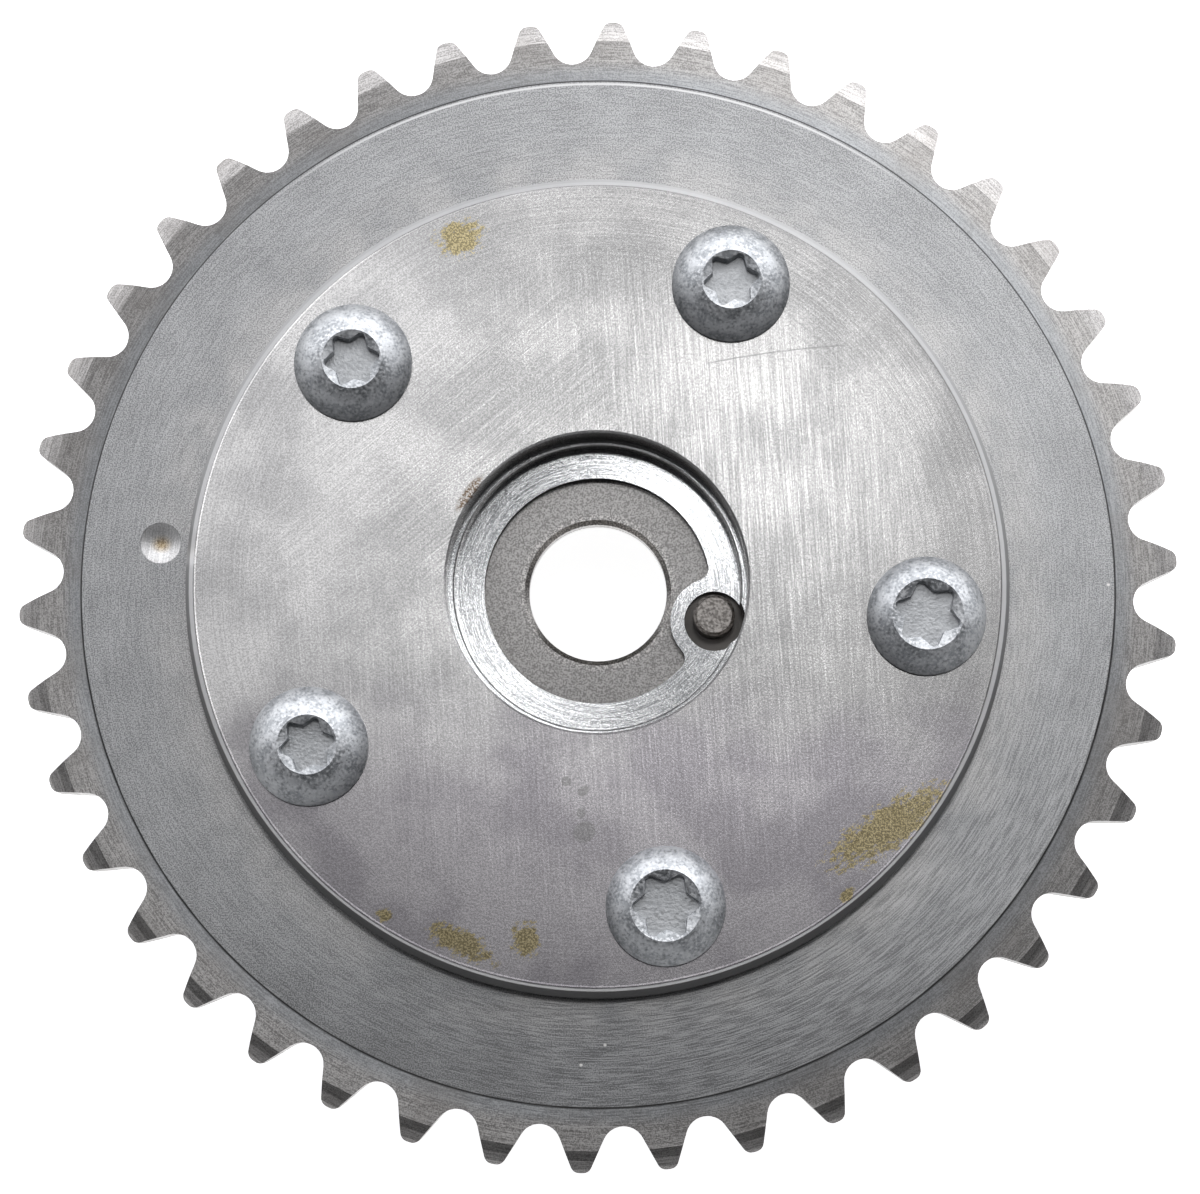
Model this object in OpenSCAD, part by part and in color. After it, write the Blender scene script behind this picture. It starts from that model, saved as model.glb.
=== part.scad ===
/* [Sprocket] */
// Number of teeth
teeth = 42; // [40:1:60]
// Chain pitch
chain_pitch = 8; // [7.8:0.05:9.6]
// Diameter of the chain's rollers
roller_d = 4; // [3.4:0.05:4.6]
// Radial room between a roller and its seat in the tooth gap
roller_clearance = 0.05; // [0.01:0.01:0.15]
// Angle of each tooth flank from the centre line of its gap
flank_angle = 26.8; // [24:0.1:30]
// Height of the tooth tips above the pitch circle
tooth_addendum = 2.35; // [1.6:0.05:2.8]
// Rounding of the tooth tips
tip_round = 0.85; // [0.3:0.05:0.95]
// Width of the teeth along the axis
tooth_w = 4.4; // [3.4:0.1:6]
// Radial length of the curved guide taper on both sides of each tooth
tip_taper = 2.1; // [0.8:0.05:2.5]
// Radius of that curve
tip_taper_r = 5.4; // [4.6:0.1:8]
// Slope of the taper where it starts
tip_taper_slope = 13; // [8:1:18]
// Angle of the first tooth from +X
first_tooth = 2.67; // [0:0.01:8.5]
// Radial width of the sunken face between the tooth roots and the raised annulus
tooth_face_w = 1.9; // [1:0.1:3]
// Height of the raised annulus above the tooth face
annulus_rise = 0.3; // [0.15:0.05:0.8]

/* [Housing] */
// Radius of the oil chamber
chamber_r = 35; // [33.5:0.1:36]
// Depth of the oil chamber along the axis
chamber_h = 18; // [15:0.5:26]
// Wall of the barrel around the chamber
barrel_wall = 5.5; // [4.6:0.1:6.5]
// Angle that each of the housing's lobes takes up
lobe_angle = 30; // [26:0.5:34]
// Sloping foot between the barrel and the sprocket flange
flange_foot = 2; // [0.5:0.1:4]
// Radius of the relief in the chamber's corners
corner_relief_r = 0.6; // [0.3:0.05:1]
// Diameter of the round timing dimple in the annulus
dimple_d = 4; // [2:0.1:4.4]
// Depth of the timing dimple
dimple_depth = 0.9; // [0.4:0.05:1.5]
// Distance of the dimple's centre from the cover's edge
dimple_offset = 2.9; // [2.4:0.1:4]
// Angle of the dimple from +X
dimple_angle = 174.2; // [0:0.1:360]

/* [Covers] */
// Thickness of the cover on the camshaft side
cam_cover_t = 4; // [3:0.1:6]
// Thickness of the cover on the far side
front_cover_t = 5; // [4.6:0.1:8]
// Width by which both covers lap over the chamber's wall
cover_lap = 4.4; // [3:0.1:5.4]
// Radius of the camshaft bore in the cover
cam_bore_r = 14.4; // [14.2:0.05:17]
// Broken edge at the mouth of that bore
bore_break = 0.2; // [0.1:0.05:0.4]
// Radius of the valve opening in the far cover
valve_opening_r = 12; // [11:0.1:16]
// Radial width of the long bevel round the camshaft cover
cover_bevel = 1; // [0.3:0.05:1.6]
// Height of that bevel
cover_bevel_h = 1.9; // [0.5:0.1:2.6]
// Fine edge between that bevel and the cover's face
cover_edge = 0.15; // [0.05:0.05:0.25]
// Small broken edges
edge_break = 0.3; // [0.1:0.05:0.5]

/* [Screws] */
// Number of screws, lobes and vanes
sectors = 5; // [3:1:5]
// Diameter of the screw shanks
screw_d = 6; // [5:0.1:7]
// Distance of the screws inside the chamber's wall
screw_inset = 3.55; // [3.2:0.05:5]
// Angle of the first screw from +X
first_screw = -6.1; // [-36:0.1:36]
// Diameter of the screw heads
head_d = 11.3; // [9.5:0.1:12.5]
// Height of the screw heads
head_h = 3.2; // [2.6:0.1:4.5]
// Height of the upright rim under the dome
head_rim = 0.5; // [0.2:0.1:1]
// Depth of the six-lobe recess below the top of the dome
recess_depth = 2.3; // [1.2:0.1:2.5]
// Width across the lobes of the narrow recess
narrow_recess = 5.6; // [4.6:0.05:6]
// Width across the lobes of the wide recess
wide_recess = 6.7; // [5.6:0.05:7.2]
// Radial width of the bevel round a recess
recess_mouth = 0.03; // [0:0.01:0.3]
// Depth from the far face to the screw ends
screw_end_depth = 1; // [0.3:0.1:2]

/* [Rotor] */
// Radius of the rotor's hub
hub_r = 20.5; // [19.5:0.1:22]
// Swing of the rotor between its stops
swing = 20; // [14:0.5:23]
// Angle left at each stop
stop_gap = 0.5; // [0.2:0.05:1.5]
// Radius of the counterbore that takes the camshaft's nose
nose_r = 13.8; // [13.2:0.05:14.1]
// Broken edge at the mouth of that counterbore
nose_break = 0.15; // [0.05:0.05:0.2]
// Depth of the clamping ledge below the rotor's face
ledge_depth = 3.24; // [2.6:0.02:4]
// Outer radius of the sunken oil groove inside the ledge
groove_r = 11; // [10.6:0.05:11.6]
// Depth of the oil groove below the ledge
groove_depth = 1.6; // [0.6:0.1:2]
// Radius of the rounded ends of the groove
groove_end_r = 1.2; // [0.5:0.05:1.5]
// Radius of the centre bolt's hole
bolt_hole_r = 6.7; // [5.5:0.05:6.9]
// Bevel at the mouth of the bolt hole
bolt_hole_bevel = 0.45; // [0.1:0.05:0.6]
// Thickness of the web round the bolt hole
web_t = 2.4; // [1.6:0.1:4]
// Radius of the valve bore below the web
valve_bore_r = 10.5; // [9.5:0.1:11]
// Radius of the oil ports between the valve bore and the chambers
port_r = 1.25; // [0.6:0.05:1.5]
// Height of the lower row of ports above the rotor's far face
low_port_h = 2.4; // [2:0.1:3]
// Distance between the two rows of ports
port_rise = 3.3; // [3.1:0.1:4]
// Reach of the ports past the hub's wall, into the root of a vane
port_reach = 1; // [0.4:0.1:2]

/* [Seals] */
// Width of the seal strips
seal_w = 2; // [1.4:0.1:2.6]
// Radial depth of the seal strips
seal_d = 3.2; // [2.4:0.1:3.6]
// Room behind a seal for its spring
spring_room = 0.8; // [0.6:0.05:1.2]
// Thickness of the leaf springs
leaf_t = 0.25; // [0.15:0.05:0.3]
// Width of the leaf springs
leaf_w = 1.3; // [0.8:0.1:1.4]
// Length of the leaf springs
leaf_l = 14; // [8:0.5:14.5]

/* [Lock pin] */
// Wall between the lock pin's bore and the seal slot in its vane
lock_slot_wall = 1.75; // [1.2:0.05:2.4]
// Diameter of the lock pin
lock_d = 6; // [4.8:0.1:6.4]
// Length of the lock pin
lock_l = 9; // [7:0.1:10]
// Depth of the spring's bore in the lock pin
lock_bore_depth = 6.5; // [4:0.1:6.6]
// Wall of the lock pin round its spring
lock_wall = 0.8; // [0.5:0.05:1]
// Height of the tapered tip
lock_tip_h = 1; // [0.4:0.1:1.8]
// Radial taper of the tip
lock_tip_taper = 0.4; // [0.2:0.05:0.7]
// Diameter of the spring's wire
spring_wire = 0.7; // [0.4:0.05:0.8]
// Turns of the spring
spring_turns = 8; // [5:1:10]
// Thickness of the spring's seat
spring_seat_t = 2; // [1:0.1:3]
// Radius of the vent through the spring's seat
vent_r = 0.9; // [0.5:0.05:1]
// Wall of the hard bush that takes the lock pin's tip
bush_wall = 1; // [0.6:0.1:1.4]
// Length of that bush
bush_l = 3.2; // [2:0.1:4]

/* [Locating pin] */
// Diameter of the camshaft locating pin
pin_d = 4; // [3.4:0.05:4.1]
// Radius at which the pin stands
pin_circle_r = 11.55; // [11.1:0.05:11.6]
// Angle of the pin from +X
pin_angle = -13.2; // [-30:0.1:30]
// Height of the pin's end above the ledge
pin_stand = 2.2; // [1.4:0.1:2.4]
// Radial step from the pin's head down to its pressed shank
pin_step = 0.25; // [0.1:0.05:0.4]
// Depth of the shank's seat below the pocket
pin_seat = 3; // [2:0.1:3.2]
// Room round the pin in its pocket
pocket_room = 0.9; // [0.85:0.05:1]
// Offset of the pocket's centre from the pin
pocket_offset = 0.36; // [0:0.02:0.36]
// Direction of that offset from +X
pocket_offset_angle = -85; // [-180:1:180]
// Depth of the pocket below the ledge
pocket_depth = 1.4; // [0.6:0.1:2]
// Width of the ledge's tongue round the pocket
tongue_w = 1.35; // [0.9:0.05:1.4]

/* [Clearances] */
// Gap between the rotor and each cover
end_gap = 0.06; // [0.02:0.01:0.15]
// Gap between the vane tips and the chamber
tip_gap = 0.08; // [0.04:0.01:0.2]
// Gap between the lobes and the hub
hub_gap = 0.1; // [0.04:0.01:0.2]
// Gap between a seal's face and the wall that it wipes
wipe_gap = 0.03; // [0.01:0.01:0.06]
// Gap on each side of a strip in its slot
slot_gap = 0.03; // [0.01:0.01:0.06]
// Radial gap of a sliding pin
slide_gap = 0.02; // [0.01:0.005:0.05]
// Radial gap of pressed and seated pieces
seat_gap = 0.01; // [0.005:0.005:0.03]
// Radial gap of the screws in the covers and the housing
screw_gap = 0.3; // [0.15:0.05:0.5]
// Radial gap of the screws in their tapped holes
thread_gap = 0.05; // [0.02:0.01:0.1]
// Radial gap between the lock pin and its bush
bush_gap = 0.2; // [0.1:0.05:0.4]

/* [Hidden] */
$fn = 96;
root_steps = 6;
tip_steps = 5;
taper_steps = 3;
// Length of the taper's curve past the tooth tips
taper_overrun = 0.4;
groove_steps = 72;
lobe_steps = 6;
overshoot = 1;

half_pitch = 180 / teeth;
pitch_r = chain_pitch / 2 / sin(half_pitch);
seat_r = roller_d / 2 + roller_clearance;
root_r = pitch_r - seat_r;
tip_r = pitch_r + tooth_addendum;
annulus_r = root_r - tooth_face_w;
cover_r = chamber_r + cover_lap;
barrel_r = chamber_r + barrel_wall;

housing_z = front_cover_t;
annulus_z = housing_z + chamber_h;
cover_z = annulus_z + cam_cover_t;
tooth_top_z = annulus_z - annulus_rise;
tooth_low_z = tooth_top_z - tooth_w;
rotor_low_z = housing_z + end_gap;
rotor_top_z = annulus_z - end_gap;
ledge_z = rotor_top_z - ledge_depth;
groove_z = ledge_z - groove_depth;
web_z = groove_z - web_t;
pocket_z = ledge_z - pocket_depth;
valve_bore_top_z = web_z - (valve_bore_r - bolt_hole_r);

sector = 360 / sectors;
vane_angle = sector - lobe_angle - swing - 2 * stop_gap;
lobe_r = hub_r + hub_gap;
vane_tip_r = chamber_r - tip_gap;
screw_circle_r = chamber_r - screw_inset;
screw_r = screw_d / 2;
head_r = head_d / 2;
dome_h = head_h - head_rim;
dome_r = (head_r * head_r + dome_h * dome_h) / (2 * dome_h);

slot_half = seal_w / 2 + slot_gap;
vane_seal_out_r = chamber_r - wipe_gap;
vane_seal_back_r = vane_seal_out_r - seal_d;
vane_slot_floor_r = vane_seal_back_r - spring_room;
lobe_seal_in_r = hub_r + wipe_gap;
lobe_seal_back_r = lobe_seal_in_r + seal_d;
lobe_slot_floor_r = lobe_seal_back_r + spring_room;
leaf_bow = spring_room - leaf_t - 2 * seat_gap;
leaf_bend_r = (leaf_l * leaf_l / 4 + leaf_bow * leaf_bow) / (2 * leaf_bow);

lock_sector = 2;
lock_r = lock_d / 2;
lock_circle_r = vane_slot_floor_r - lock_slot_wall - slide_gap - lock_r;
lock_low_z = rotor_low_z + slot_gap;
lock_floor_z = lock_low_z + lock_l - lock_bore_depth;
spring_seat_z = rotor_top_z - seat_gap - spring_seat_t;
spring_r = lock_r - lock_wall - spring_wire / 2 - slide_gap;
bush_in_r = lock_r + bush_gap;
bush_out_r = bush_in_r + bush_wall;

pin_r = pin_d / 2;
pin_shank_r = pin_r - pin_step;
pocket_r = pin_r + pocket_room;
tongue_r = pocket_r + tongue_w;
pin_place = pin_circle_r * [cos(pin_angle), sin(pin_angle)];
pocket_place = pin_place + pocket_offset * [cos(pocket_offset_angle), sin(pocket_offset_angle)];
pocket_circle_r = norm(pocket_place);
pocket_angle = atan2(pocket_place.y, pocket_place.x);

// Turn of each screw's recess, and whether it is the wide one
recess_turns = [42, 9, 8, 12, 2];
recess_is_wide = [true, false, false, false, true];
// Inner width of a six-lobe recess as a share of its width across the lobes
recess_waist = 0.72;
// Radius of a recess lobe as a share of its width
recess_lobe = 0.085;
// Narrowing of a recess towards its floor
recess_draft = 1.08;
// Height of the bevel round a recess as a share of its width
recess_mouth_slope = 0.22;

function screw_angle(k) = first_screw + sector * k;
function vane_middle(k) = screw_angle(k) + lobe_angle / 2 + stop_gap + vane_angle / 2;
function at_angle(r, a) = [r * cos(a), r * sin(a)];
function turned(p, a) = [p.x * cos(a) - p.y * sin(a), p.x * sin(a) + p.y * cos(a)];
function arc_points(c, r, from, to, steps) =
    [for (i = [0:steps]) c + at_angle(r, from + (to - from) * i / steps)];
function mirrored(points) = [for (i = [len(points) - 1:-1:0]) [points[i].x, -points[i].y]];

// Lower half of one tooth about +X, from the bottom of the gap to the tip:
// the roller seat, then the straight flank, then the rounding of the tip
flank_lean = flank_angle - half_pitch;
flank_dir = at_angle(1, flank_lean);
flank_normal = at_angle(1, flank_lean + 90);
seat_centre = at_angle(pitch_r, -half_pitch);
round_line = seat_centre + (seat_r + tip_round) * flank_normal;
round_along = round_line * flank_dir;
round_run = -round_along
    + sqrt(round_along * round_along - round_line * round_line + pow(tip_r - tip_round, 2));
round_centre = round_line + round_run * flank_dir;
tooth_half = concat(
    arc_points(seat_centre, seat_r, 180 - half_pitch, 90 + flank_lean, root_steps),
    arc_points(round_centre, tip_round, flank_lean - 90, atan2(round_centre.y, round_centre.x), tip_steps)
);
tooth_back = mirrored(tooth_half);
tooth = concat(tooth_half, [[tip_r, 0]], [for (i = [0:len(tooth_back) - 2]) tooth_back[i]]);

module sprocket_outline() {
    polygon([for (t = [0:teeth - 1]) for (p = tooth) turned(p, first_tooth + 2 * half_pitch * t)]);
}

// Toothed ring, with both sides of the teeth tapered towards the tips in a slow curve
module tooth_ring() {
    end_slope = asin(sin(tip_taper_slope) + (tip_taper + taper_overrun) / tip_taper_r);
    taper_x = tip_r - tip_taper - tip_taper_r * sin(tip_taper_slope);
    taper_drop = tip_taper_r * cos(tip_taper_slope);
    intersection() {
        translate([0, 0, tooth_low_z - overshoot])
            linear_extrude(tooth_w + 2 * overshoot) sprocket_outline();
        rotate_extrude() polygon(concat(
            [[0, tooth_low_z]],
            arc_points([taper_x, tooth_low_z + taper_drop], tip_taper_r,
                tip_taper_slope - 90, end_slope - 90, taper_steps),
            arc_points([taper_x, tooth_top_z - taper_drop], tip_taper_r,
                90 - end_slope, 90 - tip_taper_slope, taper_steps),
            [[0, tooth_top_z]]
        ));
    }
}

// A pie slice that reaches past the chamber
module slice(middle, angle) {
    reach = 2 * chamber_r;
    polygon([
        [0, 0],
        at_angle(reach, middle - angle / 2),
        at_angle(reach, middle),
        at_angle(reach, middle + angle / 2)
    ]);
}

module chamber_outline() {
    difference() {
        circle(chamber_r);
        for (k = [0:sectors - 1]) difference() {
            slice(screw_angle(k), lobe_angle);
            circle(lobe_r);
        }
    }
    for (k = [0:sectors - 1], side = [-1, 1])
        translate(at_angle(chamber_r, screw_angle(k) + side * lobe_angle / 2)) circle(corner_relief_r);
}

// Upright bar of the given radial span, standing at an angle
module bar_at(angle, from_r, to_r, half_w, low_z, high_z) {
    rotate(angle) translate([from_r, -half_w, low_z]) cube([to_r - from_r, 2 * half_w, high_z - low_z]);
}

module at_screws() {
    for (k = [0:sectors - 1]) rotate(screw_angle(k)) translate([screw_circle_r, 0, 0]) children();
}

// Housing: barrel with five lobes, flange and teeth in one sintered piece
module sprocket_housing() {
    flange_mid_z = (tooth_low_z + tooth_top_z) / 2;
    dimple_ball_r = (dimple_d * dimple_d / 4 + dimple_depth * dimple_depth) / (2 * dimple_depth);
    color("slategray") difference() {
        union() {
            tooth_ring();
            rotate_extrude() polygon([
                [0, housing_z],
                [barrel_r - edge_break, housing_z],
                [barrel_r, housing_z + edge_break],
                [barrel_r, tooth_low_z - flange_foot],
                [barrel_r + flange_foot, tooth_low_z],
                [barrel_r + flange_foot, flange_mid_z],
                [annulus_r + annulus_rise, flange_mid_z],
                [annulus_r + annulus_rise, tooth_top_z],
                [annulus_r, annulus_z],
                [0, annulus_z]
            ]);
        }
        translate([0, 0, housing_z - overshoot]) linear_extrude(chamber_h + 2 * overshoot) chamber_outline();
        at_screws() translate([0, 0, housing_z - overshoot])
            cylinder(r = screw_r + screw_gap, h = chamber_h + 2 * overshoot);
        for (k = [0:sectors - 1])
            bar_at(screw_angle(k), lobe_r - overshoot, lobe_slot_floor_r, slot_half,
                housing_z - overshoot, annulus_z + overshoot);
        rotate(dimple_angle)
            translate([cover_r + dimple_offset, 0, annulus_z + dimple_ball_r - dimple_depth])
                sphere(dimple_ball_r);
    }
}

// Ground cover plate on the camshaft side
module cam_side_cover() {
    color("lightgray") difference() {
        rotate_extrude() polygon([
            [cam_bore_r, annulus_z],
            [cover_r, annulus_z],
            [cover_r, cover_z - cover_bevel_h],
            [cover_r - cover_bevel, cover_z - cover_edge],
            [cover_r - cover_bevel - cover_edge, cover_z],
            [cam_bore_r + bore_break, cover_z],
            [cam_bore_r, cover_z - bore_break]
        ]);
        at_screws() translate([0, 0, annulus_z - overshoot])
            cylinder(r = screw_r + screw_gap, h = cam_cover_t + 2 * overshoot);
    }
}

// Cover plate on the far side, with the tapped holes and the lock bush's seat
module front_cover() {
    color("darkgray") difference() {
        rotate_extrude() polygon([
            [valve_opening_r + edge_break, 0],
            [cover_r - edge_break, 0],
            [cover_r, edge_break],
            [cover_r, front_cover_t],
            [valve_opening_r, front_cover_t],
            [valve_opening_r, edge_break]
        ]);
        at_screws() translate([0, 0, -overshoot])
            cylinder(r = screw_r + thread_gap, h = front_cover_t + 2 * overshoot);
        at_lock() translate([0, 0, front_cover_t - bush_l])
            cylinder(r = bush_out_r + seat_gap, h = bush_l + overshoot);
    }
}

// Outline of a six-lobe recess: six small lobes joined by six wide flutes
module six_lobe(width) {
    lobe = recess_lobe * width;
    lobe_at = width / 2 - lobe;
    waist = recess_waist * width / 2;
    flute = (lobe * lobe - lobe_at * lobe_at - waist * waist + 2 * lobe_at * waist * cos(30))
        / (2 * (waist - lobe_at * cos(30) - lobe));
    flute_centre = at_angle(waist + flute, 30);
    join = flute_centre - [lobe_at, 0];
    join_angle = atan2(join.y, join.x);
    one = concat(
        arc_points([lobe_at, 0], lobe, -join_angle, join_angle, lobe_steps),
        [at_angle(waist, 30)]
    );
    polygon([for (i = [0:5]) for (p = one) turned(p, 60 * i)]);
}

// Domed screw with its shank, standing on the cover
module screw(k) {
    width = recess_is_wide[k] ? wide_recess : narrow_recess;
    waist_r = recess_waist * width / recess_draft / 2;
    mouth_r = width / 2 + recess_mouth;
    floor_z = head_h - recess_depth;
    mouth_z = head_h - dome_r + sqrt(dome_r * dome_r - mouth_r * mouth_r);
    color("gray") rotate(screw_angle(k)) translate([screw_circle_r, 0, cover_z]) difference() {
        union() {
            intersection() {
                cylinder(r = head_r, h = head_h);
                translate([0, 0, head_h - dome_r]) sphere(dome_r);
            }
            translate([0, 0, screw_end_depth - cover_z]) rotate_extrude() polygon([
                [0, 0],
                [screw_r - edge_break, 0],
                [screw_r, edge_break],
                [screw_r, cover_z - screw_end_depth + floor_z / 2],
                [0, cover_z - screw_end_depth + floor_z / 2]
            ]);
        }
        rotate(recess_turns[k] - screw_angle(k)) translate([0, 0, floor_z])
            linear_extrude(recess_depth + overshoot, scale = recess_draft) six_lobe(width / recess_draft);
        translate([0, 0, mouth_z - recess_mouth_slope * (mouth_r - waist_r)])
            cylinder(r1 = waist_r, r2 = 2 * mouth_r, h = recess_mouth_slope * (2 * mouth_r - waist_r));
    }
}

// Pie-shaped vanes on a hub, bored for the centre valve and the camshaft's nose
module rotor() {
    color("dimgray") difference() {
        translate([0, 0, rotor_low_z]) linear_extrude(rotor_top_z - rotor_low_z) {
            circle(hub_r);
            intersection() {
                circle(vane_tip_r);
                union() for (k = [0:sectors - 1]) slice(vane_middle(k), vane_angle);
            }
        }
        rotate_extrude() polygon([
            [0, rotor_low_z - overshoot],
            [valve_bore_r, rotor_low_z - overshoot],
            [valve_bore_r, valve_bore_top_z],
            [bolt_hole_r, web_z],
            [bolt_hole_r, groove_z - bolt_hole_bevel],
            [bolt_hole_r + bolt_hole_bevel, groove_z],
            [bolt_hole_r + bolt_hole_bevel, ledge_z],
            [nose_r, ledge_z],
            [nose_r, rotor_top_z - nose_break],
            [nose_r + nose_break + overshoot, rotor_top_z + overshoot],
            [0, rotor_top_z + overshoot]
        ]);
        translate([0, 0, groove_z]) linear_extrude(groove_depth + overshoot) groove_outline();
        translate([pocket_place.x, pocket_place.y, pocket_z])
            cylinder(r = pocket_r, h = rotor_top_z - pocket_z + overshoot);
        translate([pin_place.x, pin_place.y, pocket_z - pin_seat])
            cylinder(r = pin_shank_r + seat_gap, h = pin_seat + overshoot);
        for (k = [0:sectors - 1]) {
            bar_at(vane_middle(k), vane_slot_floor_r, chamber_r + overshoot, slot_half,
                rotor_low_z - overshoot, rotor_top_z + overshoot);
            oil_port(vane_middle(k) - vane_angle / 2, low_port_h);
            oil_port(vane_middle(k) + vane_angle / 2, low_port_h + port_rise);
        }
        at_lock() translate([0, 0, rotor_low_z - overshoot])
            cylinder(r = lock_r + slide_gap, h = rotor_top_z - rotor_low_z + 2 * overshoot);
    }
}

// Radial port that opens at the root of a vane
module oil_port(angle, height) {
    rotate(angle) translate([valve_bore_r - overshoot, 0, rotor_low_z + height]) rotate([90, 0, 90])
        cylinder(r = port_r, h = hub_r - valve_bore_r + overshoot + port_reach);
}

// Oil groove inside the ledge: a round pool, stopped by the tongue round the pin's pocket
module groove_outline() {
    end_x = (pow(groove_r - groove_end_r, 2) - pow(tongue_r + groove_end_r, 2) + pow(pocket_circle_r, 2))
        / (2 * pocket_circle_r);
    end_y = sqrt(pow(groove_r - groove_end_r, 2) - end_x * end_x);
    end_at = atan2(end_y, end_x);
    tongue_at = atan2(end_y, end_x - pocket_circle_r);
    rotate(pocket_angle) polygon(concat(
        arc_points([0, 0], groove_r, end_at, 360 - end_at, groove_steps),
        arc_points([end_x, -end_y], groove_end_r, -end_at, 180 - tongue_at, lobe_steps),
        arc_points([pocket_circle_r, 0], tongue_r, 360 - tongue_at, tongue_at, 2 * lobe_steps),
        arc_points([end_x, end_y], groove_end_r, tongue_at - 180, end_at, lobe_steps)
    ));
}

// Stepped pin that times the camshaft to the rotor
module cam_locating_pin() {
    end_z = ledge_z + pin_stand;
    color("gainsboro") translate([pin_place.x, pin_place.y, 0]) rotate_extrude() polygon([
        [0, pocket_z - pin_seat],
        [pin_shank_r, pocket_z - pin_seat],
        [pin_shank_r, pocket_z],
        [pin_r, pocket_z],
        [pin_r, end_z - edge_break],
        [pin_r - edge_break, end_z],
        [0, end_z]
    ]);
}

module at_lock() {
    rotate(vane_middle(lock_sector)) translate([lock_circle_r, 0, 0]) children();
}

// Hard bush pressed into the far cover
module lock_bush() {
    color("silver") at_lock() translate([0, 0, front_cover_t - bush_l]) difference() {
        cylinder(r = bush_out_r, h = bush_l);
        translate([0, 0, -overshoot]) cylinder(r = bush_in_r, h = bush_l + 2 * overshoot);
    }
}

// Cup-shaped lock pin, drawn back into its vane
module lock_pin() {
    color("silver") at_lock() translate([0, 0, lock_low_z]) rotate_extrude() polygon([
        [0, 0],
        [lock_r - lock_tip_taper, 0],
        [lock_r, lock_tip_h],
        [lock_r, lock_l],
        [lock_r - lock_wall, lock_l],
        [lock_r - lock_wall, lock_l - lock_bore_depth],
        [0, lock_l - lock_bore_depth]
    ]);
}

// Coil spring between the lock pin and its seat
module lock_spring() {
    sides = 8;
    turn_steps = 16;
    steps = turn_steps * spring_turns;
    low_z = lock_floor_z + spring_wire / 2 + seat_gap;
    high_z = spring_seat_z - spring_wire / 2 - seat_gap;
    rings = [for (i = [0:steps]) for (j = [0:sides - 1])
        let (turn = 360 * i / turn_steps, round = 360 * j / sides)
        let (r = spring_r + spring_wire / 2 * cos(round))
        [r * cos(turn), r * sin(turn), low_z + (high_z - low_z) * i / steps + spring_wire / 2 * sin(round)]];
    walls = [for (i = [0:steps - 1]) for (j = [0:sides - 1])
        [i * sides + j, (i + 1) * sides + j, (i + 1) * sides + (j + 1) % sides, i * sides + (j + 1) % sides]];
    ends = [[for (j = [0:sides - 1]) j], [for (j = [sides - 1:-1:0]) steps * sides + j]];
    color("darkslategray") at_lock() polyhedron(rings, concat(walls, ends), convexity = spring_turns);
}

// Vented disc that holds the spring in its bore
module lock_spring_seat() {
    color("silver") at_lock() translate([0, 0, spring_seat_z]) difference() {
        cylinder(r = lock_r + slide_gap - seat_gap, h = spring_seat_t);
        translate([0, 0, -overshoot]) cylinder(r = vent_r, h = spring_seat_t + 2 * overshoot);
    }
}

// Seal strip in a lobe, wiping the rotor's hub
module lobe_seal(k) {
    color("black") difference() {
        bar_at(screw_angle(k), lobe_seal_in_r - overshoot, lobe_seal_back_r, seal_w / 2,
            rotor_low_z, rotor_top_z);
        cylinder(r = lobe_seal_in_r, h = annulus_z);
    }
}

// Seal strip in a vane's tip, wiping the chamber's wall
module vane_seal(k) {
    color("black") intersection() {
        bar_at(vane_middle(k), vane_seal_back_r, chamber_r + overshoot, seal_w / 2, rotor_low_z, rotor_top_z);
        cylinder(r = vane_seal_out_r, h = annulus_z);
    }
}

// Bowed leaf of spring steel, with its crown towards +X at the given radius
module leaf_spring(crown_r) {
    mid_z = (rotor_low_z + rotor_top_z) / 2;
    translate([crown_r - leaf_bend_r, leaf_w / 2, mid_z]) rotate([90, 0, 0]) linear_extrude(leaf_w)
        intersection() {
            difference() {
                circle(leaf_bend_r);
                circle(leaf_bend_r - leaf_t);
            }
            translate([0, -leaf_l / 2]) square([leaf_bend_r + overshoot, leaf_l]);
        }
}

// Spring behind a lobe's seal, with its crown towards the hub
module lobe_seal_spring(k) {
    color("steelblue") rotate(screw_angle(k) + 180) leaf_spring(-lobe_seal_back_r - seat_gap);
}

// Spring behind a vane's seal, with its crown towards the chamber's wall
module vane_seal_spring(k) {
    color("steelblue") rotate(vane_middle(k)) leaf_spring(vane_seal_back_r - seat_gap);
}

sprocket_housing();
cam_side_cover();
front_cover();
lock_bush();
rotor();
cam_locating_pin();
lock_pin();
lock_spring();
lock_spring_seat();
for (k = [1:sectors]) {
    screw(k - 1);
    lobe_seal(k - 1);
    lobe_seal_spring(k - 1);
    vane_seal(k - 1);
    vane_seal_spring(k - 1);
}
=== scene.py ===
from math import cos, radians, sin

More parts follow.
